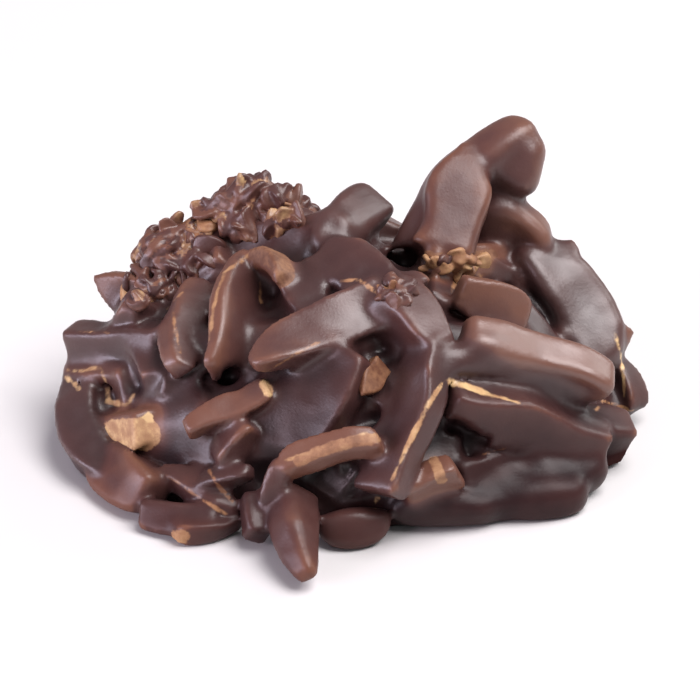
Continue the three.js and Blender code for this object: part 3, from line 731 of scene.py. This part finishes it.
# Windows where the almond is bare, along broken edges and ends: the sliver, how far each reaches from a line
# in the picture, and the almond's tone there, from 0, browned, to 1, pale.
windows = [
    ("arch", 0.55, [(-4.4, -2.4), (-3, -1.7), (0, -0.7), (2.2, -0.4)], 0.12),
    ("bent end", 0.9, [(-8.0, 15.5), (-7, 15.4), (-6.0, 14.8), (-5.6, 13.4)], -0.05),
    ("snapped chunk", 1.5, [(-20.4, -0.3), (-17.9, -0.1)], 0.36),
    ("snapped chunk", 0.5, [(-17.6, 1.4), (-17.4, -0.9)], 0.75),
    ("cut stick", 0.5, [(-7.4, 4.2), (-7.1, 3.6)], 0.4),
    ("ledge", 0.8, [(6.6, 15.2), (9, 14.9), (12.4, 15.4)], -0.05),
    ("mound edge", 0.5, [(-6.6, 18.0), (-6.0, 20.6)], 0.2),
    ("mound left", 0.5, [(-14, 17.8), (-12.8, 17.5)], 0.5),
    ("low stick", 0.6, [(-15.2, -9), (-14.4, -8.9)], 0.2),
    ("bare chunk", 0.5, [(7.3, -2.4), (7.9, -4)], 0.15),
]


def line_distance(u, v, line):
    """The distance from each place in the picture to a line of several straight stretches."""
    best = np.full(u.shape, 1e3)
    for (u0, v0), (u1, v1) in zip(line, line[1:]):
        du, dv = u1 - u0, v1 - v0
        place = np.clip(((u - u0) * du + (v - v0) * dv) / (du * du + dv * dv), 0, 1)
        best = np.minimum(best, np.hypot(u - u0 - place * du, v - v0 - place * dv))
    return best


point_u, point_v = points @ across, points @ up
bareness = np.full(len(points), -1.0)
paleness = np.full(len(points), 0.5)
for name, reach, line, tone in windows:
    own_share = sampled(averaged((nearest == names.index(name)).astype(float), 3), points)
    depth = np.minimum(reach - line_distance(point_u, point_v, line), 2 * own_share - 1)
    paleness = np.where(depth > bareness, tone, paleness)
    bareness = np.maximum(bareness, depth)
note(coat, "bareness", bareness)
note(coat, "paleness", paleness)


first_depth, last_depth, depth_step = 24.0, -14.0, 0.1


def on_skin(u, v, rise):
    """Where the sight line through a place in the picture meets the skin, moved out by the rise, or None."""
    depths = np.arange(first_depth, last_depth, -depth_step)
    sight = u * across + v * up + depths[:, None] * toward
    inside = np.nonzero(sampled(skin, sight) < 0)[0]
    return sight[inside[0]] + rise * toward if len(inside) else None


# Where a coat is thin along an edge, or a flake stands on its edge, a pale broken line shows, and some of
# these lines are painted highlights along edges. Each is followed over the skin from spot to spot, and is
# left out where it jumps from one sliver to another.
almond_lines_and_highlights = [
    # the line in the picture, its width, its tone from 0, browned, to 1, pale
    ([(8.6, 4.5), (10.4, 3.9), (12.4, 3.2)], 0.85, 0.55),
    ([(8.2, 4.7), (6.8, 2.6), (6.0, 1.0), (4.9, -1.1), (3.6, -4.0), (1.9, -6.2)], 0.5, 0.5),
    ([(8.4, 4.5), (10.4, 3.9), (12.6, 3.2), (16.0, 2.3)], 0.5, 0.45),
    ([(-5.4, -2.3), (-3.0, -1.5), (0.0, -0.4), (1.6, 0.0)], 0.5, 0.4),
    ([(-8.7, 15.6), (-10.9, 14.0), (-11.5, 12.4), (-11.9, 10.6), (-12.2, 8.0)], 0.55, 0.35),
    ([(-7.4, 5.3), (-4.6, 6.9), (-2.4, 8.0)], 0.4, 0.25),
    ([(-0.8, 13.2), (0.7, 13.3), (2.0, 12.4), (3.3, 11.6)], 0.45, 0.3),
    ([(-24.2, 8.8), (-22.5, 8.8), (-20.6, 8.7)], 0.45, 0.35),
    ([(-25.5, 5.5), (-23.8, 5.3), (-22.0, 5.7), (-21.5, 4.4), (-21.2, 2.6), (-19.6, 2.4), (-18.9, 3.2)],
     0.6, 0.55),
    ([(-25.1, 4.8), (-24.2, 4.1), (-23.5, 3.5)], 0.6, 0.6),
    ([(-16.2, -3.5), (-14.7, -4.5), (-11.6, -6.5), (-10.4, -7.1)], 0.45, 0.2),
    ([(-12.2, -3.2), (-11.2, -4.8), (-9.9, -6.2)], 0.35, 0.15),
    ([(-16.1, 10.8), (-14.5, 12.5)], 0.4, 0.3),
    ([(-15.5, 10.6), (-15.1, 8.4), (-14.7, 6.6)], 0.4, 0.2),
    ([(-8.3, 14.8), (-7.9, 12.8), (-7.8, 11.2)], 0.5, 0.3),
    ([(21.5, 1.9), (22.3, 2.7), (23.6, 2.3), (25.2, 1.8)], 0.4, 0.3),
    ([(23.4, 8.6), (24.0, 6.5), (24.3, 3.0)], 0.5, 0.6),
    ([(11.5, -1.9), (13.4, -1.3), (15.0, -1.2)], 0.35, 0.2),
    ([(8.8, 12.2), (9.4, 13.4), (10.6, 14.0), (12.0, 13.6)], 0.5, 0.3),
]
spot_spacing = 0.5
longest_step = 1.4
fade_share = 0.75
line_strength = np.zeros(len(points))
line_tone = np.zeros(len(points))
line_draw = np.random.default_rng(9)
for line, wide, tone in almond_lines_and_highlights:
    spots = []
    for (u0, v0), (u1, v1) in zip(line, line[1:]):
        for share in np.arange(0, 1, spot_spacing / np.hypot(u1 - u0, v1 - v0)):
            spots.append(on_skin(u0 + share * (u1 - u0), v0 + share * (v1 - v0), 0))
    spots = np.array([spot for spot in spots if spot is not None])
    near = np.nonzero(np.all((points > spots.min(0) - 1) & (points < spots.max(0) + 1), axis=1))[0]
    breadths = np.convolve(line_draw.uniform(0.1, 1.5, len(spots) + 2), np.full(3, 1 / 3), "valid")
    for here, there, breadth in zip(spots, spots[1:], breadths):
        step_line = there - here
        if np.linalg.norm(step_line) > longest_step:
            continue
        place = np.clip((points[near] - here) @ step_line / (step_line @ step_line), 0, 1)
        off_line = np.linalg.norm(points[near] - here - place[:, None] * step_line, axis=1)
        strength = breadth * np.clip(1.15 - off_line / (fade_share * wide), 0, 1)
        line_tone[near] = np.where(strength > line_strength[near], tone, line_tone[near])
        line_strength[near] = np.maximum(line_strength[near], strength)
note(coat, "line", line_strength)
note(coat, "line_tone", line_tone)


class Finish:
    """The nodes of one material, made in the order in which they are read."""

    def __init__(self, name):
        self.material, self.tree, self.shader = paint(name)
        place = self.tree.nodes.new("ShaderNodeTexCoord")
        scale = self.tree.nodes.new("ShaderNodeMapping")
        scale.inputs["Scale"].default_value = (1 / MM,) * 3
        self.tree.links.new(place.outputs["Object"], scale.inputs["Vector"])
        self.place = scale.outputs["Vector"]

    def set(self, socket, value):
        """A socket's number or colour, or a link to it from another node."""
        if hasattr(value, "links"):
            self.tree.links.new(value, socket)
        else:
            socket.default_value = value

    def value(self, attribute):
        """A number that was noted on the piece's points."""
        node = self.tree.nodes.new("ShaderNodeAttribute")
        node.attribute_name = attribute
        return node.outputs["Fac"]

    def noise(self, size, detail=2.0, spread=0.5):
        """Noise from 0 to 1 whose lumps are about this many millimetres across."""
        node = self.tree.nodes.new("ShaderNodeTexNoise")
        self.set(node.inputs["Vector"], self.place)
        node.inputs["Scale"].default_value = 1 / size
        node.inputs["Detail"].default_value = detail
        node.inputs["Roughness"].default_value = spread
        return node.outputs["Fac"]

    def math(self, operation, a, b=0.0, c=0.0):
        """A sum or a product of up to three numbers."""
        node = self.tree.nodes.new("ShaderNodeMath")
        node.operation = operation
        for socket, value in zip(node.inputs, (a, b, c)):
            self.set(socket, value)
        return node.outputs["Value"]

    def step(self, value, low, high):
        """A smooth step from 0 at the low value to 1 at the high one."""
        node = self.tree.nodes.new("ShaderNodeMapRange")
        node.interpolation_type = "SMOOTHSTEP"
        for name, at in (("Value", value), ("From Min", low), ("From Max", high)):
            self.set(node.inputs[name], at)
        return node.outputs["Result"]

    def ramp(self, value, stops):
        """A colour that runs through the stops, each a place from 0 to 1 with its colour."""
        node = self.tree.nodes.new("ShaderNodeValToRGB")
        ramp = node.color_ramp
        while len(ramp.elements) < len(stops):
            ramp.elements.new(0.5)
        for element, (at, colour) in zip(ramp.elements, stops):
            element.position = at
            element.color = (*colour, 1)
        self.set(node.inputs["Fac"], value)
        return node.outputs["Color"]

    def mix(self, share, a, b):
        """The first colour where the share is 0, and the second where it is 1."""
        node = self.tree.nodes.new("ShaderNodeMix")
        node.data_type = "RGBA"
        for socket, value in ((node.inputs[0], share), (node.inputs[6], a), (node.inputs[7], b)):
            self.set(socket, value if hasattr(value, "links") or isinstance(value, float) else (*value, 1))
        return node.outputs[2]

    def bump(self, height, strength, distance):
        """Relief too fine to model, whose full height is the distance in millimetres."""
        node = self.tree.nodes.new("ShaderNodeBump")
        node.inputs["Strength"].default_value = strength
        node.inputs["Distance"].default_value = distance * MM
        self.set(node.inputs["Height"], height)
        self.set(self.shader.inputs["Normal"], node.outputs["Normal"])


# The colour goes from nearly black, where the coat is thick, to a warm brown where it is thin. It is thin on
# worn edges and in patches, and it is darkened in hollows, deep in joints, low by the table and on shaded
# slivers, which is painted shade.
chocolate = Finish("dark_chocolate")
patches = chocolate.noise(4.0, 3.0)
edges = chocolate.step(chocolate.value("bulge"), 0.06, 0.3)
worn = chocolate.math("MULTIPLY", edges, chocolate.step(chocolate.noise(2.2, 3.0), 0.42, 0.66))
dull = chocolate.value("dull")
thin = chocolate.value("thinness")
# Painted shade: the hollows and the dulled, shaded places push the colour towards black.
for cause, share in ((patches, 0.5), (worn, 0.34), (chocolate.value("hollow_shade"), -0.4), (dull, -0.25)):
    thin = chocolate.math("MULTIPLY_ADD", cause, share, thin)
brown = chocolate.ramp(
    thin,
    [
        (0.05, (0.018, 0.009, 0.010)),
        (0.45, (0.046, 0.019, 0.018)),
        (0.8, (0.08, 0.033, 0.028)),
        (1.0, (0.14, 0.058, 0.038)),
    ],
)
# Bare almond runs from its brown skin to its pale inside. A window or a line shows it where its strength and
# a noise come to enough, so that its border is ragged. Some of the lines are painted highlights along edges,
# drawn in the almond's colours.
almond_stops = [
    (0.3, (0.12, 0.045, 0.022)),
    (0.55, (0.27, 0.13, 0.065)),
    (0.8, (0.42, 0.24, 0.12)),
    (1.0, (0.66, 0.45, 0.22)),
]
opened = chocolate.math("MULTIPLY_ADD", chocolate.noise(0.8, 3.0, 0.6), 0.6, chocolate.value("bareness"))
opened = chocolate.step(opened, 0.26, 0.44)
bare_tone = chocolate.noise(1.3, 4.0, 0.65)
bare_tone = chocolate.math("MULTIPLY_ADD", bare_tone, 0.9, chocolate.value("paleness"))
# The lines: partly bare almond along thin-coated edges, partly painted highlights along edges.
lined = chocolate.math("MULTIPLY_ADD", chocolate.noise(0.9, 3.0), 0.9, chocolate.value("line"))
lined = chocolate.step(lined, 0.8, 1.4)
lined_tone = chocolate.math("MULTIPLY_ADD", chocolate.noise(1.5, 3.0), 0.7, chocolate.value("line_tone"))
colour = chocolate.mix(lined, brown, chocolate.ramp(lined_tone, almond_stops))
colour = chocolate.mix(opened, colour, chocolate.ramp(bare_tone, almond_stops))
chocolate.set(chocolate.shader.inputs["Base Color"], colour)

# The coat set with a satin shine, rougher in patches and where the almond is bare, over a faint grain.
rough = chocolate.math("MULTIPLY_ADD", chocolate.noise(1.8, 3.0), 0.26, 0.26)
rough = chocolate.math("MULTIPLY_ADD", opened, 0.25, rough)
chocolate.set(chocolate.shader.inputs["Roughness"], rough)
# Where the painted shade lies, the shine is cut down as well, so those places reflect less of the table.
shine = chocolate.math("MULTIPLY_ADD", dull, -0.45, chocolate.value("gloss"))
chocolate.set(chocolate.shader.inputs["Specular IOR Level"], chocolate.math("ADD", shine, 0.58))
relief = chocolate.math("MULTIPLY_ADD", chocolate.noise(2.4, 2.0), 1.6, chocolate.noise(0.7, 4.0, 0.6))
chocolate.bump(chocolate.math("ADD", relief, chocolate.noise(0.25, 2.0)), 0.4, 0.035)
coat.data.materials.append(chocolate.material)

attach(coat, "root")
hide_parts("cluster")


# The mound and the slope at the upper left are crumbled: small curled flakes of coated almond stand on them
# every way, with bare chips among them, and there are a few on the crossing and under the horn. They stuck
# there as the paste set. Each patch is drawn as the coat is, on a finer grid.
def grown(bits, step, blend):
    """The surface round some bits, each a small sliver, on its own grid, and each point's nearest bit."""
    ends = np.array([[bit["start"], bit["start"] + bit["axis"] * bit["length"]] for bit in bits])
    room_round = 2
    low = ends.min((0, 1)) - room_round
    lines = [np.arange(a, b, step) for a, b in zip(low, ends.max((0, 1)) + room_round)]
    x, y, z = np.meshgrid(*lines, indexing="ij", sparse=True)
    field = np.full([len(line) for line in lines], 1.0)
    nearest_bit = np.zeros(field.shape, np.int16)
    for index, bit in enumerate(bits):
        part = block(lines, bit, 0.9)
        here = sliver_field(bit, x[part[0]], y[:, part[1]], z[:, :, part[2]])
        closer = here < field[part]
        nearest_bit[part][closer] = index
        field[part] = soft_min(field[part], here, blend)
    points, faces = surface_of(field, low, step)
    cells = np.clip(np.round((points - low) / step).astype(int), 0, np.array(field.shape) - 1)
    return points, faces, nearest_bit[tuple(cells.T)]


crumb_step = 0.15
crumb_blend = 0.38


def gathered(groups, name):
    """One piece of all the groups of bits, with each point's own tone."""
    all_points, all_faces, tones, total = [], [], [], 0
    for bits in groups:
        if not bits:
            continue
        points, faces, nearest_bit = grown(bits, crumb_step, crumb_blend)
        all_points.append(points)
        all_faces.append(faces + total)
        tones.append(np.array([bit["tone"] for bit in bits])[nearest_bit])
        total += len(points)
    piece = new_piece(name, np.concatenate(all_points), np.concatenate(all_faces))
    return piece, np.concatenate(tones)


crumb_patches = [
    # where in the picture, how far it reaches, how many, how far out, the share that is bare, how large
    ((-8.6, 19.9), (5.0, 2.6), 110, 0.6, 0.03, 1),
    ((-13.2, 17.8), (1.5, 1.0), 16, 0.4, 0.5, 1),
    ((-15.6, 15.6), (3.4, 2.4), 70, 0.3, 0.02, 1),
    ((-17.4, 12.8), (2.4, 1.8), 30, 0.2, 0.02, 1),
    ((4.0, 12.2), (1.8, 1.3), 30, 0.4, 0.1, 0.6),
    ((9.4, 14.9), (3.0, 0.7), 40, 0, 0.75, 0.75),
]
least_crumb, most_crumb = (1.2, 0.8, 0.4), (3.4, 2.2, 0.75)
least_thick = 0.34
most_curl, most_crumb_twist = 0.3, 0.6
deepest = -0.5
crumb_blunt = (0.3, 0.3)
browned = 0.5
draw = np.random.default_rng(31)
coated_groups, bare_groups = [], []
for (u, v), (reach_u, reach_v), count, highest, bare_share, size in crumb_patches:
    coated, bare = [], []
    for _ in range(count):
        angle, reach = draw.uniform(0, 2 * np.pi), np.sqrt(draw.uniform())
        here = on_skin(u + reach_u * reach * np.cos(angle), v + reach_v * reach * np.sin(angle), 0)
        rise = draw.uniform(deepest, highest)
        heading = draw.normal(size=3)
        heading /= np.linalg.norm(heading)
        facing = draw.normal(size=3) + 0.8 * toward
        length, wide, thick = size * draw.uniform(least_crumb, most_crumb)
        curl, twist = draw.uniform((-most_curl, -most_crumb_twist), (most_curl, most_crumb_twist))
        tone, chance = draw.uniform(size=2)
        if here is None:
            continue
        start = here + size * rise * toward - heading * length / 2
        end = start + heading * length
        bit = lay(start, end, facing, wide, max(thick, least_thick), 0, 0, crumb_blunt)
        bit["curl"] = size * curl
        bit["twist"] = np.degrees(twist)
        is_bare = chance < bare_share
        bit["tone"] = browned * tone if is_bare else size * tone
        (bare if is_bare else coated).append(bit)
    coated_groups.append(coated)
    bare_groups.append(bare)

# In the cleft a split piece of bare almond shows.
cleft_ends = on_skin(1.0, 3.3, 0.9), on_skin(2.8, 5.8, 0.7)
cleft_bit = lay(*cleft_ends, toward, 2.3, 1.2, -20, 0, (0.1, 0.95), 1.6)
cleft_bit["tone"] = 0.02
bare_groups.append([cleft_bit])

coated_crumbs, tones = gathered(coated_groups, "coated_crumbs")
crumb_notes = {"bulge": 0.12, "hollow_shade": 0, "dull": 0, "gloss": 0}
crumb_notes |= {"bareness": -0.6, "paleness": 0.3, "line_tone": 0.5}
for attribute, value in crumb_notes.items():
    note(coated_crumbs, attribute, np.full(len(tones), value))
note(coated_crumbs, "thinness", 0.36 + 0.5 * tones)
note(coated_crumbs, "line", 0.6 * np.clip((tones - 0.7) / 0.2, 0, 1))
coated_crumbs.data.materials.append(chocolate.material)
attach(coated_crumbs, "root")

# The bare chips are broken almond with no coat on it, matt and uneven in tone.
bare_almond = Finish("bare_almond")
almond_tone = bare_almond.noise(0.9, 4.0, 0.65)
almond_tone = bare_almond.math("MULTIPLY_ADD", almond_tone, 0.7, bare_almond.value("paleness"))
bare_almond.set(bare_almond.shader.inputs["Base Color"], bare_almond.ramp(almond_tone, almond_stops))
bare_almond.shader.inputs["Roughness"].default_value = 0.5
bare_almond.shader.inputs["Specular IOR Level"].default_value = 0.4
bare_chips, tones = gathered(bare_groups, "bare_chips")
note(bare_chips, "paleness", tones)
bare_chips.data.materials.append(bare_almond.material)
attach(bare_chips, "root")
